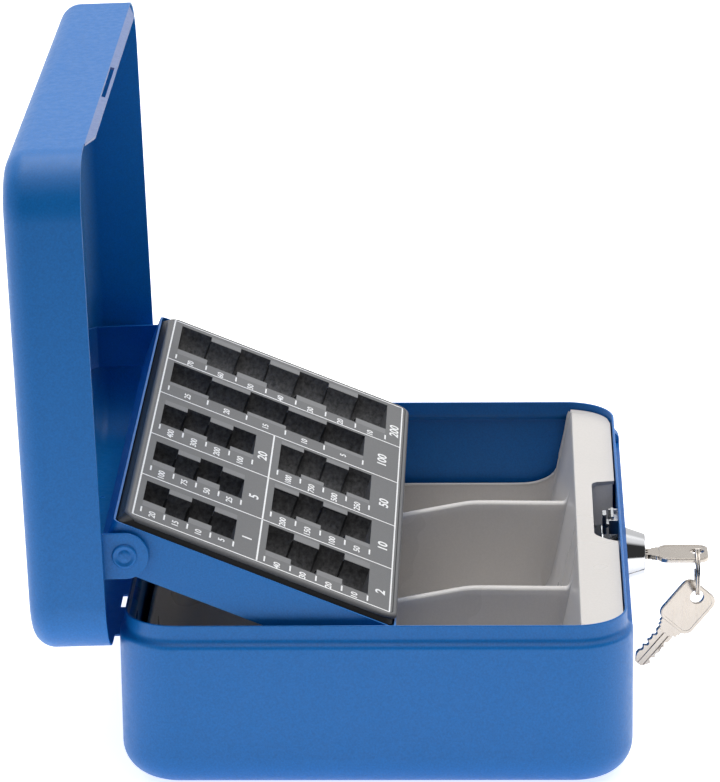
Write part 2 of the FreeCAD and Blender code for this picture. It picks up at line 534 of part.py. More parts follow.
# ---------------------------------------------------------------- latch bolt and its guide
nose = box(-5, 5, fy + 2.55, fy + 5.6, 53.3, 56.5)
crown = box(-5, 5, fy + 4.5, fy + 5.6, 56.5, 58.6)
web = box(-2.6, 2.6, fy + 5.4, fy + 7.4, 53.3, 54.9)
tailp = box(-2.6, 2.6, fy + 7.2, fy + tail_rear, 50.6, 58.4)
bolt = fuse([nose, crown, web, tailp])
export("latch_bolt", bolt)
gp = box(-6.6, 6.6, fy + STEP_IN + t, fy + 5.3, 52.0, 52.85)
g1 = box(-6.6, -5.4, fy + STEP_IN + t, fy + 6.4, 52.0, 57.6)
g2 = box(5.4, 6.6, fy + STEP_IN + t, fy + 6.4, 52.0, 57.6)
export("bolt_guide", fuse([gp, g1, g2]))


# ---------------------------------------------------------------- keys and ring
def make_key(hole_x, hole_r):
    """Key along -Y from its tip: blade flat in XY, bow end at y = -KEY_L, tip at y = 0."""
    yb = -(KEY_L - BOW_L)
    bow = rrect(-BOW_W / 2, BOW_W / 2, -KEY_L, yb, 3.6, -KEY_T / 2, KEY_T / 2)
    ed = [e for e in bow.Edges if abs(abs(e.CenterOfMass.z) - KEY_T / 2) < 1e-6]
    bow = bow.makeFillet(0.35, ed)
    bow = bow.cut(cyl(hole_r, 4, (hole_x, -KEY_L + 4.1, -2), (0, 0, 1)))
    blade = Part.Face(Part.makePolygon([V(-3.3, yb - 0.6, -0.95), V(3.3, yb - 0.6, -0.95), V(3.3, -3.0, -0.95), V(1.4, -0.2, -0.95),
                                        V(-1.4, -0.2, -0.95), V(-3.3, -3.0, -0.95), V(-3.3, yb - 0.6, -0.95)])).extrude(V(0, 0, 1.9))
    for sy, dx, dep in ((-4.6, 1, 1.1), (-7.2, 1, 0.6), (-9.8, 1, 1.3), (-12.4, 1, 0.8), (-5.6, -1, 0.7), (-8.2, -1, 1.2), (-10.8, -1, 0.5), (-13.2, -1, 1.0)):
        x = dx * 3.3
        notch = Part.Face(Part.makePolygon([V(x + dx * 0.1, sy - 1.2, -2), V(x - dx * dep, sy - 0.4, -2), V(x - dx * dep, sy + 0.4, -2),
                                            V(x + dx * 0.1, sy + 1.2, -2), V(x + dx * 0.1, sy - 1.2, -2)])).extrude(V(0, 0, 4))
        blade = blade.cut(notch)
    grooves = [box(-1.5, -0.4, yb + 0.6, 1, 0.45, 2), box(0.6, 1.7, yb + 0.6, 1, -2, -0.45)]
    for g in grooves:
        blade = blade.cut(g)
    return fuse([bow, blade])


KEY_TIP_Y = fy + 7.0
ring_x, ring_y, ring_z = -5.3, fy - 26.5, LOCK_Z - 5.3
hole_x = ring_x + math.sqrt(RING_R ** 2 - 5.3 ** 2)
key = make_key(hole_x, 2.6)
key.translate(V(0, KEY_TIP_Y, LOCK_Z))
export("lock_key", key)
rg = Part.makeTorus(RING_R, RING_WIRE, V(ring_x, ring_y, ring_z), V(0, 1, 0))
export("key_ring", rg)

# spare key: hangs from the foot of the ring, its tip leaning towards the box
spare = make_key(0.0, 2.6)
spare.translate(V(0, KEY_L - 4.1, 0))
m = FreeCAD.Matrix()
sp_f, sp_u = 116.3, 27.15
tip_f, tip_u = 93.6, 2.5
ln = math.hypot(tip_f - sp_f, tip_u - sp_u)
dy, dz = -(tip_f - sp_f) / ln, (tip_u - sp_u) / ln
# blade axis (+y of the key) to (0, dy, dz); flat normal (z of the key) to -x
m.A11, m.A21, m.A31 = 0.0, dz, -dy
m.A12, m.A22, m.A32 = 0.0, dy, dz
m.A13, m.A23, m.A33 = 1.0, 0.0, 0.0
pl = FreeCAD.Placement(m)
spare.Placement = pl.multiply(spare.Placement)
spare.rotate(V(0, 0, 0), V(0, 0, 1), 14)
spare.translate(V(ring_x, -sp_f, sp_u))
print("spare box", spare.BoundBox)
export("spare_key", spare)
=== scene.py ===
import json
import math

import bmesh
import bpy
from mathutils import Matrix, Vector

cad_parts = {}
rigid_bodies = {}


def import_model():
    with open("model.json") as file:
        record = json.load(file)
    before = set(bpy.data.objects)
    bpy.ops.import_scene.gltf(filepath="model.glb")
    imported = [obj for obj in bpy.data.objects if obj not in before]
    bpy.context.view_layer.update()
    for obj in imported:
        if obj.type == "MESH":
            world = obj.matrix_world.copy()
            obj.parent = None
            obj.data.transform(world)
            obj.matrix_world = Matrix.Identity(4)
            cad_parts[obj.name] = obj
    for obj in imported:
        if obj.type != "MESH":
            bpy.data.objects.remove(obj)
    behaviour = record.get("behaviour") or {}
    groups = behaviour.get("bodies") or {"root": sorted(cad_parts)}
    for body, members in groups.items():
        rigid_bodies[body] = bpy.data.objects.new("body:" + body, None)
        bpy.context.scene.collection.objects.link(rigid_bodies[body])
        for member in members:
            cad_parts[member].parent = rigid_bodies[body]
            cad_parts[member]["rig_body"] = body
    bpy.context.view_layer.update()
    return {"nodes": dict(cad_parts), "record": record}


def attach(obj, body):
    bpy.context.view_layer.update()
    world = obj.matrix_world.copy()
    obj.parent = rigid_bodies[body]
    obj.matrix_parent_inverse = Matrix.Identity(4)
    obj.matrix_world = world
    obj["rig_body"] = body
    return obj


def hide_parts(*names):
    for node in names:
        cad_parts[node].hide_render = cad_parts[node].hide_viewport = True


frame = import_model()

nodes = frame["nodes"]
MM = 0.001


# ------------------------------------------------------------------ node helpers
def new_material(name):
    m = bpy.data.materials.new(name)
    m.use_nodes = True
    m.node_tree.nodes.clear()
    out = m.node_tree.nodes.new("ShaderNodeOutputMaterial")
    bsdf = m.node_tree.nodes.new("ShaderNodeBsdfPrincipled")
    m.node_tree.links.new(bsdf.outputs["BSDF"], out.inputs["Surface"])
    return m, m.node_tree, bsdf


def node(tree, kind, **settings):
    n = tree.nodes.new(kind)
    for k, v in settings.items():
        setattr(n, k, v)
    return n


def coords(tree, stretch=(1, 1, 1)):
    tc = node(tree, "ShaderNodeTexCoord")
    if stretch == (1, 1, 1):
        return tc.outputs["Object"]
    mp = node(tree, "ShaderNodeMapping")
    mp.inputs["Scale"].default_value = stretch
    tree.links.new(tc.outputs["Object"], mp.inputs["Vector"])
    return mp.outputs["Vector"]


def noise(tree, vec, scale, detail=2.0, rough=0.5, distortion=0.0):
    n = node(tree, "ShaderNodeTexNoise")
    n.inputs["Scale"].default_value = scale
    n.inputs["Detail"].default_value = detail
    n.inputs["Roughness"].default_value = rough
    n.inputs["Distortion"].default_value = distortion
    tree.links.new(vec, n.inputs["Vector"])
    return n.outputs["Fac"]


def ramp(tree, fac, stops):
    r = node(tree, "ShaderNodeValToRGB")
    el = r.color_ramp.elements
    while len(el) < len(stops):
        el.new(0.5)
    for e, (p, c) in zip(el, stops):
        e.position = p
        e.color = (c[0], c[1], c[2], 1.0)
    tree.links.new(fac, r.inputs["Fac"])
    return r.outputs["Color"]


def to_range(tree, fac, lo, hi, f0=0.3, f1=0.7):
    r = node(tree, "ShaderNodeMapRange")
    r.inputs["From Min"].default_value = f0
    r.inputs["From Max"].default_value = f1
    r.inputs["To Min"].default_value = lo
    r.inputs["To Max"].default_value = hi
    tree.links.new(fac, r.inputs["Value"])
    return r.outputs["Result"]


def blend_col(tree, fac, a, b, kind="MIX"):
    m = node(tree, "ShaderNodeMix", data_type="RGBA", blend_type=kind)
    if hasattr(fac, "links"):
        tree.links.new(fac, m.inputs[0])
    else:
        m.inputs[0].default_value = fac
    for s, v in ((6, a), (7, b)):
        if hasattr(v, "links"):
            tree.links.new(v, m.inputs[s])
        else:
            m.inputs[s].default_value = (v[0], v[1], v[2], 1.0)
    return m.outputs[2]


def add_bump(tree, bsdf, heights):
    """heights: (socket, strength, distance in metres), stacked."""
    last = None
    for h, s, d in heights:
        b = node(tree, "ShaderNodeBump")
        b.inputs["Strength"].default_value = s
        b.inputs["Distance"].default_value = d
        tree.links.new(h, b.inputs["Height"])
        if last is not None:
            tree.links.new(last, b.inputs["Normal"])
        last = b.outputs["Normal"]
    tree.links.new(last, bsdf.inputs["Normal"])


def scaled(c, k):
    return tuple(x * k for x in c)


# ------------------------------------------------------------------ materials
def powder_coat(name, col):
    m, t, b = new_material(name)
    v = coords(t)
    fine = noise(t, v, 1500, 3, 0.6)
    mid = noise(t, v, 420, 2, 0.5)
    broad = noise(t, v, 9, 2, 0.5)
    base = ramp(t, fine, [(0.30, scaled(col, 0.86)), (0.52, col), (0.74, scaled(col, 1.13))])
    tint = ramp(t, broad, [(0.3, (0.95, 0.96, 0.97)), (0.7, (1.0, 1.0, 1.0))])
    t.links.new(blend_col(t, 1.0, base, tint, "MULTIPLY"), b.inputs["Base Color"])
    t.links.new(to_range(t, mid, 0.37, 0.47), b.inputs["Roughness"])
    b.inputs["IOR"].default_value = 1.42
    add_bump(t, b, [(mid, 0.25, 0.00006), (fine, 0.5, 0.00004)])
    return m


def moulded(name, col, rough, grain, contrast=0.08, strength=0.35, streak=None):
    m, t, b = new_material(name)
    v = coords(t)
    fine = noise(t, v, grain, 3, 0.6)
    broad = noise(t, v, 16, 3, 0.55)
    base = ramp(t, fine, [(0.3, scaled(col, 1 - contrast)), (0.7, scaled(col, 1 + contrast))])
    tint = ramp(t, broad, [(0.3, (0.95, 0.95, 0.945)), (0.7, (1.0, 1.0, 1.0))])
    t.links.new(blend_col(t, 1.0, base, tint, "MULTIPLY"), b.inputs["Base Color"])
    t.links.new(to_range(t, broad, rough - 0.05, rough + 0.06), b.inputs["Roughness"])
    b.inputs["IOR"].default_value = 1.48
    bumps = [(fine, strength, 0.00004)]
    if streak:
        st = noise(t, coords(t, streak), 1.0, 3, 0.6)
        bumps.append((st, 0.5, 0.00005))
    add_bump(t, b, bumps)
    return m


def metal(name, col, rough, brushed=None, spread=0.06, bump=0.15):
    m, t, b = new_material(name)
    v = coords(t)
    b.inputs["Metallic"].default_value = 1.0
    line = noise(t, coords(t, brushed), 1.0, 3, 0.6) if brushed else noise(t, v, 900, 3, 0.6)
    spots = noise(t, v, 140, 3, 0.6)
    base = ramp(t, spots, [(0.3, scaled(col, 0.93)), (0.7, col)])
    t.links.new(base, b.inputs["Base Color"])
    t.links.new(to_range(t, line, max(0.02, rough - spread), rough + spread), b.inputs["Roughness"])
    add_bump(t, b, [(line, bump, 0.00002)])
    return m


def ink(name, col):
    m, t, b = new_material(name)
    v = coords(t)
    f = noise(t, v, 700, 3, 0.6)
    t.links.new(ramp(t, f, [(0.3, scaled(col, 0.92)), (0.7, col)]), b.inputs["Base Color"])
    t.links.new(to_range(t, f, 0.42, 0.55), b.inputs["Roughness"])
    return m


BLUE = (0.0008, 0.146, 0.480)
M = {
    "blue_enamel": powder_coat("blue_powder_coat", BLUE),
    "grey_plastic": moulded("grey_moulding", (0.655, 0.622, 0.590), 0.27, 1300, 0.03, 0.15),
    "black_plastic": moulded("black_moulding", (0.0120, 0.0120, 0.0130), 0.44, 900, 0.25, 0.5, (260, 60, 60)),
    # painted sheen: the label's top is grey, standing in for the sheen of the lit black moulding
    "label_grey": moulded("label_print_grey", (0.128, 0.130, 0.135), 0.46, 1600, 0.09, 0.2),
    "chrome": metal("chrome_plate", (0.62, 0.625, 0.64), 0.06, None, 0.02, 0.03),
    "zinc": metal("zinc_plate", (0.66, 0.68, 0.70), 0.30, None, 0.08, 0.2),
    "steel": metal("plain_steel", (0.60, 0.60, 0.61), 0.32, (900, 60, 60), 0.08, 0.2),
    "handle_metal": metal("plated_wire", (0.72, 0.72, 0.73), 0.20, None, 0.06, 0.1),
    "brass": metal("brass", (0.75, 0.55, 0.25), 0.28, None, 0.06, 0.1),
    "key_nickel": metal("nickel_plate", (0.528, 0.480, 0.430), 0.24, (700, 700, 60), 0.06, 0.12),
}
M_WHITE = ink("white_print", (0.90, 0.90, 0.90))
# painted sheen: a paler, lighter copy of the blue coat for the lid's lip
M_LIP_PAINTED_SHEEN = powder_coat("blue_coat_rubbed", (0.150, 0.215, 0.430))
# painted shade: a more saturated copy of the blue coat for the lid's inner faces
M_INSIDE_PAINTED_SHADE = powder_coat("blue_coat_inside", (0.0006, 0.205, 0.560))
# painted highlight: a lighter black moulding for the lit well floors
M_WELL_PAINTED_LIGHT = moulded("black_moulding_worn", (0.088, 0.087, 0.090), 0.50, 700, 0.55, 0.8, (220, 50, 50))
# painted sheen: a lighter grey for the steps beside the wells
M_TAB_PAINTED_SHEEN = moulded("label_tab_grey", (0.178, 0.180, 0.186), 0.44, 1600, 0.07, 0.2)

slot_of = {}
for m in frame["record"]["materials"]:
    for n in m.get("nodes", []):
        slot_of[n] = m["slot"]
for name, o in nodes.items():
    s = slot_of.get(name) or o.data.materials[0].name.split(".")[0]
    slot_of[name] = s
    o.data.materials[0] = M[s]


# ------------------------------------------------------------------ softened copies
def soften(name, width, angle=30.0, segments=2, body=None):
    """A copy of a node's mesh with its hard edges rounded, standing for the node."""
    src = nodes[name]
    bm = bmesh.new()
    bm.from_mesh(src.data)
    bmesh.ops.remove_doubles(bm, verts=bm.verts, dist=2e-6)
    bmesh.ops.dissolve_degenerate(bm, edges=bm.edges, dist=1e-6)
    bmesh.ops.dissolve_limit(bm, angle_limit=math.radians(0.4), verts=bm.verts, edges=bm.edges)
    lim = math.radians(angle)
    hard = [e for e in bm.edges if len(e.link_faces) == 2 and e.calc_face_angle(0.0) > lim]
    bmesh.ops.bevel(bm, geom=hard, offset=width, offset_type="OFFSET", segments=segments, profile=0.5,
                    affect="EDGES", clamp_overlap=True)
    bmesh.ops.remove_doubles(bm, verts=bm.verts, dist=1e-6)
    for f in bm.faces:
        f.smooth = True
    for e in bm.edges:
        e.smooth = not (len(e.link_faces) == 2 and e.calc_face_angle(0.0) > math.radians(38))
    me = bpy.data.meshes.new(name + "_soft")
    bm.to_mesh(me)
    bm.free()
    o = bpy.data.objects.new(name + "_soft", me)
    bpy.context.scene.collection.objects.link(o)
    me.materials.append(M[slot_of[name]])
    wn = o.modifiers.new("weighted", "WEIGHTED_NORMAL")
    wn.keep_sharp = True
    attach(o, src["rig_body"])
    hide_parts(name)
    return o


for n, w in (("tray_frame", 0.28), ("lift_lugs", 0.3), ("lid_shell", 0.25),
             ("latch_bolt", 0.25), ("bolt_guide", 0.2),
             ("hinge_straps", 0.2), ("handle_brackets", 0.3), ("lock_cam", 0.2), ("lock_plug", 0.2),
             ("coin_tray", 0.3)):
    soften(n, w * MM)

# the well floors are painted lighter than the rest of the black moulding: a painted highlight for the light that
# reaches them
tray_soft = bpy.data.objects["coin_tray_soft"]
tray_soft.data.materials.append(M_WELL_PAINTED_LIGHT)
for f in tray_soft.data.polygons:
    u, v = 86.2 - f.center.y / MM, 86.1 - f.center.z / MM
    a, h = u * 0.92388 + v * 0.382683, u * 0.382683 - v * 0.92388
    if -1.0 < h < 11.9 and -0.2 < a < 87.6 and abs(f.center.x) < 0.110 and f.normal.dot(Vector((0, -0.382683, 0.92388))) > -0.05:
        f.material_index = 1

# the small holes in the lid's rear wall are shown a little smaller than they were constructed
HOLE_Y = 108.74
for v in bpy.data.objects["lid_shell_soft"].data.vertices:
    for hx in (-46.6, 46.6):
        dx, dy = v.co.x / MM - hx, v.co.y / MM - HOLE_Y
        if dx * dx + dy * dy < 4.0 and 0.044 < v.co.z < 0.052:
            v.co.x, v.co.y = (hx + dx * 0.6) * MM, (HOLE_Y + dy * 0.6) * MM

# the lip along the lid's front edge is painted lighter: a painted sheen standing in for its reflection of the bright
# backdrop
lid_soft = bpy.data.objects["lid_shell_soft"]
lid_soft.data.materials.append(M_LIP_PAINTED_SHEEN)
lid_soft.data.materials.append(M_INSIDE_PAINTED_SHADE)
for f in lid_soft.data.polygons:
    if f.center.z > 0.2258 and f.center.y < 0.0972:
        f.material_index = 1
    # faces turned into the lid take the painted shade copy of the blue coat
    elif f.normal.dot(f.center - Vector((0, 0.105, 0.139))) < 0:
        f.material_index = 2


# ------------------------------------------------------------------ grey moulded insert
FLOOR_Z, SHELF_Z, SIDE_Z = 3.5, 58.2, 27.4
IN_X, IN_Y0, IN_Y1, IN_R = 121.4, -86.5, 86.4, 17.6
SWEEP = ((-48.0, 27.4), (-53.0, 27.5), (-56.5, 27.9), (-59.2, 28.6), (-61.6, 29.6), (-63.6, 30.9), (-65.3, 32.7), (-66.6, 35.1), (-67.7, 38.2), (-68.6, 41.8), (-69.4, 46.0), (-70.1, 50.2), (-70.6, 54.0), (-71.1, 58.2))
RIDGE = ((-71.0, 46.5), (-56.0, 46.6), (-40.0, 46.8), (-32.0, 46.8), (-18.0, 44.2), (-7.0, 42.0), (2.0, 39.6), (9.0, 36.0), (16.0, 31.0), (21.0, 25.5), (26.0, 18.0), (30.0, 3.5))


def along(table, q):
    if q <= table[0][0]:
        return table[0][1]
    for (q0, v0), (q1, v1) in zip(table, table[1:]):
        if q <= q1:
            return v0 + (v1 - v0) * (q - q0) / (q1 - q0)
    return table[-1][1]


sweep_up = tuple((-q, v) for q, v in SWEEP)


def side_top(y):
    return along(sweep_up, -y)


def ridge_top(y):
    return sum(along(RIDGE, y + d) for d in (-2.4, -1.2, 0, 1.2, 2.4)) / 5


def x_limit(y):
    d = max(0.0, IN_Y0 + IN_R - y, y - (IN_Y1 - IN_R))
    return IN_X - IN_R + math.sqrt(max(0.0, IN_R * IN_R - d * d))


def wall(s, top, steep, r, soft=1.2):
    r = min(r, max(0.01, top - FLOOR_Z))
    # the fillet takes over where its slope equals the wall's
    k = math.sqrt(1 + steep * steep)
    s1 = (top - FLOOR_Z - r + r / k) / steep
    if s >= s1:
        q = min(r, s - s1 + r * (1 - steep / k))
        low = FLOOR_Z + r - math.sqrt(max(0.0, r * r - (r - q) ** 2))
    else:
        low = top - steep * s
    k = max(soft - abs(top - low), 0.0)
    return min(top, low) - k * k / (4 * soft)


def insert_height(x, y):
    zs = [(wall(x_limit(y) - abs(x) - 1.5, side_top(y), 13.0, 9.0), side_top(y)),
          (wall(IN_Y1 - y - 1.5, SIDE_Z, 13.0, 9.0), SIDE_Z),
          (wall(y + 71.5, SHELF_Z, 4.6, 22.0, 1.6), SHELF_Z)]
    top = ridge_top(y)
    for xd in (-46.0, 46.0):
        s = abs(x - xd)
        if s < 1.9:
            z = top - (2.2 - math.sqrt(4.84 - s * s))
        else:
            z = wall(s - 1.9, top - 1.09, 15.0, 8.0, 0.2)
        zs.append((max(z, FLOOR_Z), SHELF_Z + 8))
    walls, ridges = zs[:3], zs[3:]
    zm, cap = max(walls)
    v = [max(0.0, z - FLOOR_Z) for z, c in walls]
    add = sum(q ** 5 for q in v) ** 0.2 - max(v)
    f = min(1.0, max(0.0, (cap - zm) / 8.0))
    z = zm + add * f
    zr = max(q for q, c in ridges)
    # the ridge runs level into the wall, with only a small flare
    k = 7.0 if zr > FLOOR_Z + 9 else 3.0
    d = max(k - abs(z - zr), 0.0)
    return min(SHELF_Z, max(z, zr) + d * d / (4 * k) * min(1.0, max(0.0, zr - FLOOR_Z) / 6.0))


def spread(zones):
    out = [zones[0][0]]
    for lo, hi, step in zones:
        n = max(1, round((hi - lo) / step))
        out += [lo + (hi - lo) * (i + 1) / n for i in range(n)]
    return out


ys = spread(((IN_Y0, -73.0, 1.1), (-73.0, -69.0, 0.25), (-69.0, -46.0, 0.6), (-46.0, 72.0, 1.8), (72.0, 84.0, 0.8), (84.0, IN_Y1, 0.12)))
half = spread(((0.0, 34.0, 2.2), (34.0, 42.5, 0.7), (42.5, 49.5, 0.18), (49.5, 58.0, 0.7), (58.0, 107.0, 2.2), (107.0, 117.5, 0.7), (117.5, IN_X, 0.12)))
xs = [-q for q in reversed(half[1:])] + half
ib = bmesh.new()
grid = []
for y in ys:
    lim = x_limit(y)
    row = []
    for x in xs:
        # columns keep their place in the middle and close up towards the side walls
        xx = x if abs(x) <= 58.0 else math.copysign(58.0 + (abs(x) - 58.0) * (lim - 58.0) / (IN_X - 58.0), x)
        row.append(ib.verts.new((xx * MM, y * MM, insert_height(xx, y) * MM)))
    grid.append(row)
for r0, r1 in zip(grid, grid[1:]):
    for i in range(len(xs) - 1):
        ib.faces.new((r0[i], r0[i + 1], r1[i + 1], r1[i]))
# notch over the latch, its near end cut on the slant
NOTCH = [(31.6, -77.9), (33.4, -78.4), (34.6, -79.8), (36.6, -90.0), (-34.6, -90.0), (-30.4, -86.6), (-28.6, -83.0), (-25.4, -79.9), (-23.6, -78.5), (-21.6, -77.9)]
for (x0, y0), (x1, y1) in zip(NOTCH, NOTCH[1:] + NOTCH[:1]):
    if y0 == y1 == -90.0:
        continue
    nrm = Vector((y1 - y0, x0 - x1, 0)).normalized()
    near = [f for f in ib.faces if f.calc_center_median().y < -0.0745 and abs(f.calc_center_median().x) < 0.042]
    geom = set(near)
    for f in near:
        geom.update(f.edges)
        geom.update(f.verts)
    bmesh.ops.bisect_plane(ib, geom=list(geom), dist=1e-7, plane_co=Vector((x0, y0, 0)) * MM, plane_no=nrm)


def in_notch(p):
    x, y = p.x / MM, p.y / MM
    hit = False
    for (x0, y0), (x1, y1) in zip(NOTCH, NOTCH[1:] + NOTCH[:1]):
        if (y0 > y) != (y1 > y) and x < (x1 - x0) * (y - y0) / (y1 - y0) + x0:
            hit = not hit
    return hit


bmesh.ops.delete(ib, geom=[f for f in ib.faces if in_notch(f.calc_center_median())], context="FACES")
ext = bmesh.ops.extrude_face_region(ib, geom=ib.faces[:])
bmesh.ops.translate(ib, verts=[g for g in ext["geom"] if isinstance(g, bmesh.types.BMVert)], vec=(0, 0, -1.4 * MM))
bmesh.ops.recalc_face_normals(ib, faces=ib.faces)
# end wall of the notch, going down behind the latch
WALL = [(33.0, -77.0), (34.4, -78.6), (35.1, -80.4), (36.0, -85.9)]
cols = []
for i, (x, y) in enumerate(WALL):
    for dx in (0.0, 1.4):
        col = []
        for z in (57.6, 52.0, 46.0, 40.0, 34.0):
            col.append(ib.verts.new(((x + dx - (57.6 - z) * 0.33) * MM, y * MM, z * MM)))
        cols.append(col)
for i in range(len(WALL) - 1):
    a0, b0, a1, b1 = cols[2 * i], cols[2 * i + 1], cols[2 * i + 2], cols[2 * i + 3]
    for q in range(4):
        ib.faces.new((a0[q], a1[q], a1[q + 1], a0[q + 1]))
        ib.faces.new((b0[q], b0[q + 1], b1[q + 1], b1[q]))
    ib.faces.new((a0[0], b0[0], b1[0], a1[0]))
    ib.faces.new((a0[4], a1[4], b1[4], b0[4]))
for a0, b0 in ((cols[0], cols[1]), (cols[-2], cols[-1])):
    for q in range(4):
        ib.faces.new((a0[q], a0[q + 1], b0[q + 1], b0[q]))
bmesh.ops.recalc_face_normals(ib, faces=ib.faces)
for f in ib.faces:
    f.smooth = True
for e in ib.edges:
    e.smooth = not (len(e.link_faces) == 2 and e.calc_face_angle(0.0) > math.radians(50))
me = bpy.data.meshes.new("moulded_insert")
ib.to_mesh(me)
ib.free()
insert = bpy.data.objects.new("moulded_insert", me)
bpy.context.scene.collection.objects.link(insert)
me.materials.append(M["grey_plastic"])
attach(insert, "base")
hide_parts("compartment_insert")


# rolled top edge of the insert along its sides and rear
be = bmesh.new()
path = [(-(x_limit(y) - 0.95), y, side_top(y)) for y in (-69.5 + 1.5 * i for i in range(93))]
path += [(-(IN_X - IN_R) + 0.0 - (IN_R - 0.95) * math.cos(an), IN_Y1 - IN_R + (IN_R - 0.95) * math.sin(an), SIDE_Z)
         for an in (math.pi / 2 * k / 12 for k in range(1, 13))]
path += [(-x, y, z) for x, y, z in reversed(path)]
prev = None
for i, (x, y, z) in enumerate(path):
    p0, p1 = path[max(0, i - 1)], path[min(len(path) - 1, i + 1)]
    tan = Vector((p1[0] - p0[0], p1[1] - p0[1], p1[2] - p0[2])).normalized()
    side_v = tan.cross(Vector((0, 0, 1))).normalized()
    up_v = side_v.cross(tan).normalized()
    sec = []
    for q in range(10):
        an = 2 * math.pi * q / 10
        sec.append(be.verts.new((Vector((x, y, z)) + side_v * (0.75 * math.cos(an)) + up_v * (0.75 * math.sin(an) - 0.35)) * MM))
    if prev:
        for q in range(10):
            be.faces.new((prev[q], prev[(q + 1) % 10], sec[(q + 1) % 10], sec[q]))
    else:
        be.faces.new(sec)
    prev = sec
be.faces.new(list(reversed(prev)))
bmesh.ops.recalc_face_normals(be, faces=be.faces)
for f in be.faces:
    f.smooth = True
me = bpy.data.meshes.new("insert_bead")
be.to_mesh(me)
be.free()
bead = bpy.data.objects.new("insert_bead", me)
bpy.context.scene.collection.objects.link(bead)
me.materials.append(M["grey_plastic"])
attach(bead, "base")


# ------------------------------------------------------------------ tray print
TAU = math.radians(22.5)
CT, ST = math.cos(TAU), math.sin(TAU)
PLANE = 12.6                      # top of the label above the tray pivot, mm


def tray_point(a, x, h):
    return Vector((x, 86.2 - (a * CT + h * ST), 86.1 - a * ST + h * CT)) * MM


tray_axes = Matrix(((1, 0, 0), (0, CT, -ST), (0, ST, CT)))

ROWS = [  # first a, last a, wells, far X range, near X range, first well far, value, values at the wells
    (0.7, 87.1, 7, (79.3, 108.6), (73.7, 103.6), 1, "200", ("70", "60", "50", "40", "30", "20", "10")),
    (0.5, 79.0, 5, (38.6, 62.0), (35.0, 57.8), 1, "100", ("25", "20", "15", "10", "5")),
    (0.3, 36.7, 4, (-6.6, 16.2), (-10.8, 11.2), 0, "20", ("400", "300", "200", "100")),
    (0.4, 34.9, 4, (-51.5, -31.3), (-56.8, -36.2), 1, "5", ("100", "75", "50", "25")),
    (0.1, 34.5, 4, (-95.0, -74.8), (-100.4, -79.6), 1, "1", ("20", "15", "10", "5")),
    (46.7, 82.9, 4, (-7.6, 20.7), (-11.4, 16.6), 0, "50", ("1000", "750", "500", "250")),
    (46.4, 84.4, 4, (-53.0, -27.6), (-57.0, -32.2), 0, "10", ("200", "150", "100", "50")),
    (46.3, 85.0, 4, (-98.0, -72.0), (-103.0, -77.8), 1, "2", ("40", "30", "20", "10")),
]

pr = bmesh.new()
INK = 0.045                       # print thickness, mm


def print_bar(bm, a0, a1, x0, x1, h0=PLANE - 0.01, h1=PLANE + INK):
    vs = [bm.verts.new(tray_point(a, x, h)) for h in (h0, h1) for a, x in ((a0, x0), (a0, x1), (a1, x1), (a1, x0))]
    for f in ((0, 3, 2, 1), (4, 5, 6, 7), (0, 1, 5, 4), (1, 2, 6, 5), (2, 3, 7, 6), (3, 0, 4, 7)):
        bm.faces.new([vs[i] for i in f])


LW, SW = 0.62, 0.8
# border and separators
print_bar(pr, -2.5 - LW / 2, -2.5 + LW / 2, -112.0, 112.0)
print_bar(pr, 93.4 - 0.26, 93.4 + 0.26, -112.0, 112.0)
for xs in (112.0, -112.0):
    print_bar(pr, -2.5, 93.4, xs - SW / 2, xs + SW / 2)
for xs in (64.3, 23.2, -24.5, -69.5):
    print_bar(pr, -2.2, 93.3, xs - SW / 2, xs + SW / 2)
print_bar(pr, 43.6 - LW / 2, 43.6 + LW / 2, -112.0, 23.2)


def print_text(bm, txt, a, x, size, squeeze):
    """Figures running along +X, their tops towards the rear, centred on (a, x)."""
    c = bpy.data.curves.new("figures", "FONT")
    c.body = txt
    c.size = size * MM
    c.align_x = "CENTER"
    c.align_y = "CENTER"
    c.extrude = INK * 0.5 * MM
    c.resolution_u = 6
    c.offset = 0.00009 * size / 4
    ob = bpy.data.objects.new("figures", c)
    bpy.context.scene.collection.objects.link(ob)
    dg = bpy.context.evaluated_depsgraph_get()
    me = bpy.data.meshes.new_from_object(ob.evaluated_get(dg))
    mat = Matrix.Translation(tray_point(a, x, PLANE + INK * 0.5)) @ tray_axes.to_4x4() @ Matrix.Diagonal((squeeze, 1, 1, 1))
    me.transform(mat)
    bm.from_mesh(me)
    bpy.data.objects.remove(ob)
    bpy.data.meshes.remove(me)
    bpy.data.curves.remove(c)


for a0, a1, n, far, near, first, value, marks in ROWS:
    pitch = (a1 - a0) / n
    x1 = near[0] - 1.5
    for i in range(n + 1):
        print_bar(pr, a0 + i * pitch - 0.3, a0 + i * pitch + 0.3, x1 - 5.0, x1)
    for i in range(n):
        long = len(marks[i])
        print_text(pr, marks[i], a0 + (i + 0.5) * pitch, x1 - 1.4 - 1.45 * min(long, 3), 3.3, 1.72 if long < 4 else 1.36)
    end = 43.6 if a1 < 43.6 else 94.0
    print_text(pr, value, (a1 + end) / 2 + 0.2, near[0] + 7.0, 5.0, 1.75)

bmesh.ops.remove_doubles(pr, verts=pr.verts, dist=1e-7)
me = bpy.data.meshes.new("tray_print")
pr.to_mesh(me)
pr.free()
tray_print = bpy.data.objects.new("tray_print", me)
bpy.context.scene.collection.objects.link(tray_print)
me.materials.append(M_WHITE)
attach(tray_print, "coin_insert")


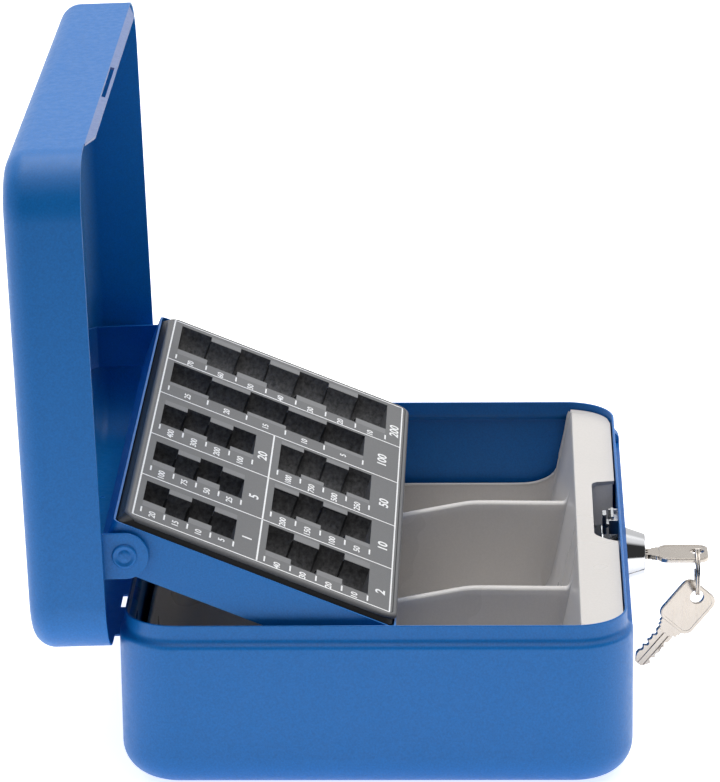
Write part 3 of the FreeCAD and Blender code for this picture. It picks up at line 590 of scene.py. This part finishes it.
# ------------------------------------------------------------------ steps beside the wells, painted lighter: a painted sheen for their bent faces catching the light
tb = bmesh.new()
for a0, a1, n, far, near, first, value, marks in ROWS:
    pitch = (a1 - a0) / n
    for i in range(n):
        b0, b1 = a0 + i * pitch + 0.1, a0 + (i + 1) * pitch - 0.1
        if (i % 2 == 0) == bool(first):
            print_bar(tb, b0, b1, near[0], far[0] - 0.15, PLANE - 0.05, PLANE + 0.012)
        else:
            print_bar(tb, b0, b1, near[1] + 0.15, far[1], PLANE - 0.05, PLANE + 0.012)
bmesh.ops.recalc_face_normals(tb, faces=tb.faces)
me = bpy.data.meshes.new("well_steps")
tb.to_mesh(me)
tb.free()
steps = bpy.data.objects.new("well_steps", me)
bpy.context.scene.collection.objects.link(steps)
me.materials.append(M_TAB_PAINTED_SHEEN)
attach(steps, "coin_insert")


# ------------------------------------------------------------------ rounded edge of the label
le = bmesh.new()
SEC = ((-0.4, 12.64), (0.25, 12.62), (0.75, 12.42), (1.12, 12.0), (1.42, 11.25), (1.2, 11.1), (0.5, 11.9), (-0.4, 12.2))
loop = []
for cx, ca, q0 in ((109.9, 91.2, 0), (-109.9, 91.2, 1), (-109.9, 0.0, 2), (109.9, 0.0, 3)):
    for k in range(9):
        an = math.pi / 2 * (q0 + k / 8)
        loop.append((cx, ca, math.cos(an), math.sin(an)))
prev = first_sec = None
for cx, ca, dx, da in loop:
    sec = [le.verts.new(tray_point(ca + da * (4.0 + o), cx + dx * (4.0 + o), h)) for o, h in SEC]
    if prev:
        for q in range(len(SEC)):
            le.faces.new((prev[q], prev[(q + 1) % len(SEC)], sec[(q + 1) % len(SEC)], sec[q]))
    else:
        first_sec = sec
    prev = sec
for q in range(len(SEC)):
    le.faces.new((prev[q], prev[(q + 1) % len(SEC)], first_sec[(q + 1) % len(SEC)], first_sec[q]))
bmesh.ops.recalc_face_normals(le, faces=le.faces)
for f in le.faces:
    f.smooth = True
me = bpy.data.meshes.new("label_edge")
le.to_mesh(me)
le.free()
label_edge = bpy.data.objects.new("label_edge", me)
bpy.context.scene.collection.objects.link(label_edge)
# the label's rounded edge takes the same painted sheen grey
me.materials.append(M["label_grey"])
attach(label_edge, "coin_insert")


# ------------------------------------------------------------------ ribs on the well floors
rb = bmesh.new()
FLOOR_H = -0.4
for a0, a1, n, far, near, first, value, marks in ROWS:
    pitch = (a1 - a0) / n
    for i in range(1, n):
        ac = a0 + i * pitch
        lo = max(far[0], near[0])
        hi = min(far[1], near[1])
        sides = []
        for rng in (far, near):
            r = (rng[1] - rng[0]) / 2
            xc = (rng[0] + rng[1]) / 2
            sides.append((r, xc))
        steps = 22
        prev = None
        for k in range(steps + 1):
            x = lo + (hi - lo) * k / steps
            fl = max(FLOOR_H + r - math.sqrt(max(0.0, r * r - (x - xc) ** 2)) for r, xc in sides)
            fl = min(fl, 11.5)
            top = min(fl + 0.55, 12.0)
            sec = [rb.verts.new(tray_point(ac + da, x, h)) for da, h in
                   ((-0.42, fl - 0.5), (-0.30, top - 0.12), (-0.14, top), (0.14, top), (0.30, top - 0.12), (0.42, fl - 0.5))]
            if prev:
                for q in range(6):
                    rb.faces.new((prev[q], prev[(q + 1) % 6], sec[(q + 1) % 6], sec[q]))
            else:
                rb.faces.new(sec)
            prev = sec
        rb.faces.new(list(reversed(prev)))
bmesh.ops.recalc_face_normals(rb, faces=rb.faces)
me = bpy.data.meshes.new("well_ribs")
rb.to_mesh(me)
rb.free()
ribs = bpy.data.objects.new("well_ribs", me)
bpy.context.scene.collection.objects.link(ribs)
me.materials.append(M["black_plastic"])
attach(ribs, "coin_insert")


# ------------------------------------------------------------------ split key ring
RING_C = Vector((-5.3, -116.5, 36.7)) * MM
sr = bmesh.new()
turns, per = 1.97, 96
count = int(turns * per)
prev = None
for k in range(count + 1):
    th = 2 * math.pi * k / per
    f = k / count
    # two coils side by side, stepping over within a short stretch
    s = (k - per * 0.93) / (per * 0.13)
    s = min(1.0, max(0.0, s))
    off = (-0.44 + 0.88 * (s * s * (3 - 2 * s))) * MM
    er = Vector((math.cos(th), 0, math.sin(th)))
    ey = Vector((0, 1, 0))
    sec = []
    for q in range(12):
        ph = 2 * math.pi * q / 12
        cx, cy = math.cos(ph), math.sin(ph)
        dr = math.copysign(abs(cx) ** 0.6, cx) * 0.62 * MM
        dy = math.copysign(abs(cy) ** 0.6, cy) * 0.40 * MM
        sec.append(sr.verts.new(RING_C + er * (8.1 * MM + dr) + ey * (off + dy)))
    if prev:
        for q in range(12):
            sr.faces.new((prev[q], prev[(q + 1) % 12], sec[(q + 1) % 12], sec[q]))
    else:
        sr.faces.new(sec)
    prev = sec
sr.faces.new(list(reversed(prev)))
bmesh.ops.recalc_face_normals(sr, faces=sr.faces)
for f in sr.faces:
    f.smooth = True
me = bpy.data.meshes.new("split_ring")
sr.to_mesh(me)
sr.free()
ring = bpy.data.objects.new("split_ring", me)
bpy.context.scene.collection.objects.link(ring)
me.materials.append(M["key_nickel"])
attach(ring, "ring")
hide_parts("key_ring")


# ------------------------------------------------------------------ rolled pivot rivets
PROFILE = [(0.0, 0.30), (1.0, 0.28), (2.0, 0.22), (2.15, 0.10), (2.45, 0.06), (2.9, 0.20), (3.3, 0.62), (3.7, 0.75), (4.1, 0.62), (4.4, 0.20), (4.4, -0.05)]
rv = bmesh.new()
for side in (-1, 1):
    rings = []
    for r, h in PROFILE:
        ring_v = []
        for q in range(40 if r > 0 else 1):
            an = 2 * math.pi * q / 40
            ring_v.append(rv.verts.new((side * (120.9 + h) * MM, (86.2 + r * math.cos(an)) * MM, (86.1 + r * math.sin(an)) * MM)))
        rings.append(ring_v)
    for q in range(40):
        rv.faces.new((rings[0][0], rings[1][q], rings[1][(q + 1) % 40]))
    for r0, r1 in zip(rings[1:], rings[2:]):
        for q in range(40):
            rv.faces.new((r0[q], r1[q], r1[(q + 1) % 40], r0[(q + 1) % 40]))
    # back of the head and the shank through lug and frame
    prev = rings[-1]
    for r, h in ((4.4, -0.05), (2.0, -0.05), (2.0, -3.0)):
        cur = [rv.verts.new((side * (120.9 + h) * MM, (86.2 + r * math.cos(2 * math.pi * q / 40)) * MM,
                             (86.1 + r * math.sin(2 * math.pi * q / 40)) * MM)) for q in range(40)]
        for q in range(40):
            rv.faces.new((prev[q], cur[q], cur[(q + 1) % 40], prev[(q + 1) % 40]))
        prev = cur
    rv.faces.new(prev)
    # scored line across the middle
    c, sn = math.cos(0.75), math.sin(0.75)
    bar = []
    for h in (0.24, 0.38):
        for u, v in ((-1.7, -0.16), (1.7, -0.16), (1.7, 0.16), (-1.7, 0.16)):
            bar.append(rv.verts.new((side * (120.9 + h) * MM, (86.2 + u * c - v * sn) * MM, (86.1 + u * sn + v * c) * MM)))
    for f in ((0, 3, 2, 1), (4, 5, 6, 7), (0, 1, 5, 4), (1, 2, 6, 5), (2, 3, 7, 6), (3, 0, 4, 7)):
        rv.faces.new([bar[i] for i in f])
bmesh.ops.remove_doubles(rv, verts=rv.verts, dist=1e-7)
bmesh.ops.recalc_face_normals(rv, faces=rv.faces)
for f in rv.faces:
    f.smooth = True
for e in rv.edges:
    e.smooth = not (len(e.link_faces) == 2 and e.calc_face_angle(0.0) > math.radians(45))
me = bpy.data.meshes.new("rolled_rivets")
rv.to_mesh(me)
rv.free()
rivets = bpy.data.objects.new("rolled_rivets", me)
bpy.context.scene.collection.objects.link(rivets)
me.materials.append(M["blue_enamel"])
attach(rivets, "lid")
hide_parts("pivot_rivets")


# ------------------------------------------------------------------ keys
def flat_piece(bm, outlines, z0, half, bevel, place):
    """A flat piece from closed outlines (the first outer, the rest holes), both faces bevelled, centred on z0."""
    c = bpy.data.curves.new("flat", "CURVE")
    c.dimensions = "2D"
    c.fill_mode = "BOTH"
    c.extrude = (half - bevel) * MM
    c.bevel_depth = bevel * MM
    c.bevel_resolution = 1
    c.offset = -bevel * MM
    for pts in outlines:
        sp = c.splines.new("POLY")
        sp.points.add(len(pts) - 1)
        for p, (x, y) in zip(sp.points, pts):
            p.co = (x * MM, y * MM, 0, 1)
        sp.use_cyclic_u = True
    ob = bpy.data.objects.new("flat", c)
    bpy.context.scene.collection.objects.link(ob)
    me = bpy.data.meshes.new_from_object(ob.evaluated_get(bpy.context.evaluated_depsgraph_get()))
    me.transform(place @ Matrix.Translation((0, 0, z0 * MM)))
    bm.from_mesh(me)
    bpy.data.objects.remove(ob)
    bpy.data.meshes.remove(me)
    bpy.data.curves.remove(c)


def rounded(x0, x1, y0, y1, r):
    pts = []
    for cx, cy, q in ((x1 - r, y1 - r, 0), (x0 + r, y1 - r, 1), (x0 + r, y0 + r, 2), (x1 - r, y0 + r, 3)):
        for k in range(9):
            an = math.pi / 2 * (q + k / 8)
            pts.append((cx + r * math.cos(an), cy + r * math.sin(an)))
    return pts


def circle(cx, cy, r):
    return [(cx + r * math.cos(2 * math.pi * q / 36), cy + r * math.sin(2 * math.pi * q / 36)) for q in range(36)]


def key_piece(name, body, hole_x, place):
    bm = bmesh.new()
    hole = circle(hole_x, -33.5, 2.6)
    flat_piece(bm, [rounded(-7.8, 7.8, -37.6, -19.1, 3.6), hole], 0.0, 0.78, 0.2, place)
    # raised frame round the bow
    flat_piece(bm, [rounded(-7.45, 7.45, -37.25, -19.45, 3.3), rounded(-6.5, 6.5, -36.3, -20.4, 2.5)], 0.0, 0.9, 0.08, place)
    # shoulders stepping down to the blade
    flat_piece(bm, [[(-4.9, -19.4), (-4.9, -17.9), (-4.1, -17.9), (-4.1, -16.5), (-3.3, -16.5), (-3.3, -15.2), (3.3, -15.2),
                     (3.3, -16.5), (4.3, -16.5), (4.3, -17.9), (4.9, -17.9), (4.9, -19.4)][::-1]], 0.0, 0.88, 0.08, place)
    left, right = [], []
    for sy, dx, dep in ((-13.2, -1, 1.0), (-10.8, -1, 0.5), (-8.2, -1, 1.2), (-5.6, -1, 0.7)):
        left += [(-3.3, sy - 1.15), (-3.3 + dep, sy - 0.4), (-3.3 + dep, sy + 0.4), (-3.3, sy + 1.15)]
    for sy, dx, dep in ((-12.4, 1, 0.8), (-9.8, 1, 1.3), (-7.2, 1, 0.6), (-4.6, 1, 1.1)):
        right += [(3.3, sy - 1.15), (3.3 - dep, sy - 0.4), (3.3 - dep, sy + 0.4), (3.3, sy + 1.15)]
    tip = [(-3.3, -3.0), (-1.4, -0.2), (1.4, -0.2), (3.3, -3.0)]
    core = [(-3.3, -15.6)] + left + tip + right[::-1] + [(3.3, -15.6)]
    flat_piece(bm, [core[::-1]], 0.0, 0.5, 0.05, place)
    # ribs left standing between the long grooves
    flat_piece(bm, [([(-3.3, -15.6)] + left + [(-3.3, -3.0), (-1.75, -0.8), (-1.75, -15.6)])[::-1]], 0.0, 0.95, 0.08, place)
    flat_piece(bm, [[(0.55, -15.6), (0.55, -0.5), (-0.45, -0.5), (-0.45, -15.6)]], 0.0, 0.95, 0.08, place)
    flat_piece(bm, [[(3.3, -15.6)] + right + [(3.3, -3.0), (1.85, -0.9), (1.85, -15.6)]], 0.0, 0.95, 0.08, place)
    bmesh.ops.remove_doubles(bm, verts=bm.verts, dist=1e-7)
    bmesh.ops.recalc_face_normals(bm, faces=bm.faces)
    me = bpy.data.meshes.new(name)
    bm.to_mesh(me)
    bm.free()
    o = bpy.data.objects.new(name, me)
    bpy.context.scene.collection.objects.link(o)
    me.materials.append(M["key_nickel"])
    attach(o, body)
    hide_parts("lock_key" if body == "key" else "spare_key")


key_piece("flat_key", "key", 0.825, Matrix.Translation(Vector((0, -83, 42)) * MM))
SPARE_AXES = Matrix(((0, 0, 1, 0), (-0.7356, 0.6774, 0, 0), (-0.6774, -0.7356, 0, 0), (0, 0, 0, 1)))
key_piece("hanging_key", "spare", 0.0, Matrix.Translation(Vector((-5.3, -116.3, 27.15)) * MM) @ Matrix.Rotation(math.radians(14), 4, "Z")
          @ SPARE_AXES @ Matrix.Translation(Vector((0, 33.5, 0)) * MM))


# ------------------------------------------------------------------ floor, light, camera
fm, ft, fb = new_material("pale_floor")
fv = coords(ft)
fn = noise(ft, fv, 30, 3, 0.5)
fb.inputs["Roughness"].default_value = 0.9
fb.inputs["Specular IOR Level"].default_value = 0.1
# a lit table: bright under and behind the box, fading towards the front of the studio
fx = node(ft, "ShaderNodeSeparateXYZ")
ft.links.new(fv, fx.inputs["Vector"])
fr = node(ft, "ShaderNodeMapRange", interpolation_type="SMOOTHSTEP")
fr.inputs["From Min"].default_value = -0.80
fr.inputs["From Max"].default_value = -0.25
fr.inputs["To Min"].default_value = 0.0
fr.inputs["To Max"].default_value = 0.75
ft.links.new(fx.outputs["X"], fr.inputs["Value"])
ft.links.new(fr.outputs["Result"], fb.inputs["Emission Strength"])
pale = ramp(ft, fr.outputs["Result"], [(0.0, (0.40, 0.40, 0.40)), (0.75, (0.90, 0.90, 0.90))])
grain = ramp(ft, fn, [(0.3, (0.98, 0.98, 0.98)), (0.7, (1.0, 1.0, 1.0))])
ft.links.new(blend_col(ft, 1.0, pale, grain, "MULTIPLY"), fb.inputs["Base Color"])
fb.inputs["Emission Color"].default_value = (1, 1, 1, 1)
bm = bmesh.new()
bmesh.ops.create_grid(bm, x_segments=8, y_segments=8, size=6.0)
me = bpy.data.meshes.new("floor")
bm.to_mesh(me)
bm.free()
floor = bpy.data.objects.new("floor", me)
floor.location = (0, 0, -0.0003)
bpy.context.scene.collection.objects.link(floor)
me.materials.append(fm)

world = bpy.data.worlds.new("studio")
bpy.context.scene.world = world
world.use_nodes = True
wt = world.node_tree
wt.nodes.clear()
wo = node(wt, "ShaderNodeOutputWorld")
wb = node(wt, "ShaderNodeBackground")
wt.links.new(wb.outputs["Background"], wo.inputs["Surface"])
wc = node(wt, "ShaderNodeTexCoord")


def lobe(direction, lo, hi):
    d = node(wt, "ShaderNodeVectorMath", operation="DOT_PRODUCT")
    wt.links.new(wc.outputs["Generated"], d.inputs[0])
    d.inputs[1].default_value = Vector(direction).normalized()
    r = node(wt, "ShaderNodeMapRange", interpolation_type="SMOOTHSTEP")
    r.inputs["From Min"].default_value = lo
    r.inputs["From Max"].default_value = hi
    wt.links.new(d.outputs["Value"], r.inputs["Value"])
    return r.outputs["Result"]


total = None
for direction, lo, hi, gain in (((0, 0, 1), 0.72, 0.84, 1.10), ((1, 0, 0.1), 0.15, 0.65, 0.85), ((0, 1, 0.1), 0.35, 0.9, 0.50),
                                ((0, 0, 1), -2.0, -1.9, 0.05)):
    g = node(wt, "ShaderNodeMath", operation="MULTIPLY")
    wt.links.new(lobe(direction, lo, hi), g.inputs[0])
    g.inputs[1].default_value = gain
    if total is None:
        total = g.outputs[0]
    else:
        s = node(wt, "ShaderNodeMath", operation="ADD")
        wt.links.new(total, s.inputs[0])
        wt.links.new(g.outputs[0], s.inputs[1])
        total = s.outputs[0]
wt.links.new(total, wb.inputs["Strength"])
wb.inputs["Color"].default_value = (1, 1, 1, 1)


def area(name, loc, target, size, power):
    ld = bpy.data.lights.new(name, "AREA")
    ld.shape = "RECTANGLE"
    ld.size, ld.size_y = size
    ld.energy = power
    lo = bpy.data.objects.new(name, ld)
    lo.location = loc
    lo.rotation_mode = "QUATERNION"
    lo.rotation_quaternion = (Vector(target) - Vector(loc)).to_track_quat("-Z", "Y")
    bpy.context.scene.collection.objects.link(lo)
    return lo


area("overhead", (0.35, 0.05, 1.6), (0, 0.02, 0.05), (1.2, 1.2), 11.0)
area("front", (0.3, -1.5, 1.1), (0, 0.1, 0.12), (0.8, 0.8), 3.5)

cam_data = bpy.data.cameras.new("camera")
cam_data.sensor_fit = "AUTO"
cam_data.sensor_width = 36.0
cam_data.lens = 4618.6 * 36.0 / 782.0
cam_data.clip_start = 0.05
cam_data.clip_end = 50.0
cam_data.dof.use_dof = False
cam = bpy.data.objects.new("camera", cam_data)
right = Vector((0.02905, -0.99949, -0.01321)).normalized()
up = Vector((0.3129, -0.00346, 0.94978)).normalized()
back = right.cross(up).normalized()
up = back.cross(right).normalized()
cam.matrix_world = Matrix(((right.x, up.x, back.x, -1.615131), (right.y, up.y, back.y, -0.045976),
                           (right.z, up.z, back.z, 0.638048), (0, 0, 0, 1)))
bpy.context.scene.collection.objects.link(cam)
bpy.context.scene.camera = cam
bpy.context.scene.view_settings.view_transform = "Standard"
bpy.context.scene.view_settings.look = "None"

bpy.context.view_layer.update()
